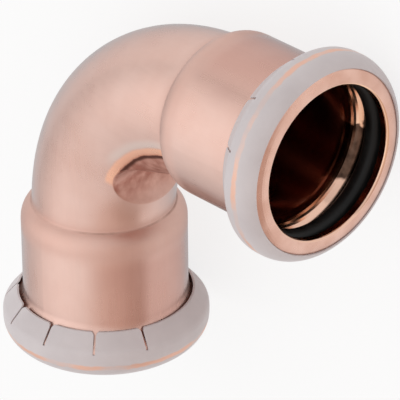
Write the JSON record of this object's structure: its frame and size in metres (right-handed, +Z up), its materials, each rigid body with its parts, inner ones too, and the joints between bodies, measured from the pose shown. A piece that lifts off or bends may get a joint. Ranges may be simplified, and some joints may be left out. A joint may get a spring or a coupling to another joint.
{
  "type": "press fit pipe elbow",
  "caption": "Right-angle press fitting that joins copper pipes: a drawn copper elbow with a sealing bead, a rubber seal ring and a slit film press indicator at each mouth.",
  "frame": {"origin": "on the bench, under the middle of the part's box", "axes": "+Z up from the bench; +X out of the inlet socket and +Y out of the outlet socket, seen from above, each mouth raised 9.5 degrees by the lean the part rests at"},
  "size_m": [0.0645, 0.0645, 0.0308],
  "materials": {
    "copper": "satin drawn copper",
    "seal_rubber": "smooth moulded rubber",
    "indicator_film": "satin shrink film"
  },
  "bodies": {
    "root": {"elbow_body": "copper", "inlet_seal_ring": "seal_rubber", "outlet_seal_ring": "seal_rubber", "inlet_press_indicator": "indicator_film", "outlet_press_indicator": "indicator_film"}
  },
  "joints": []
}
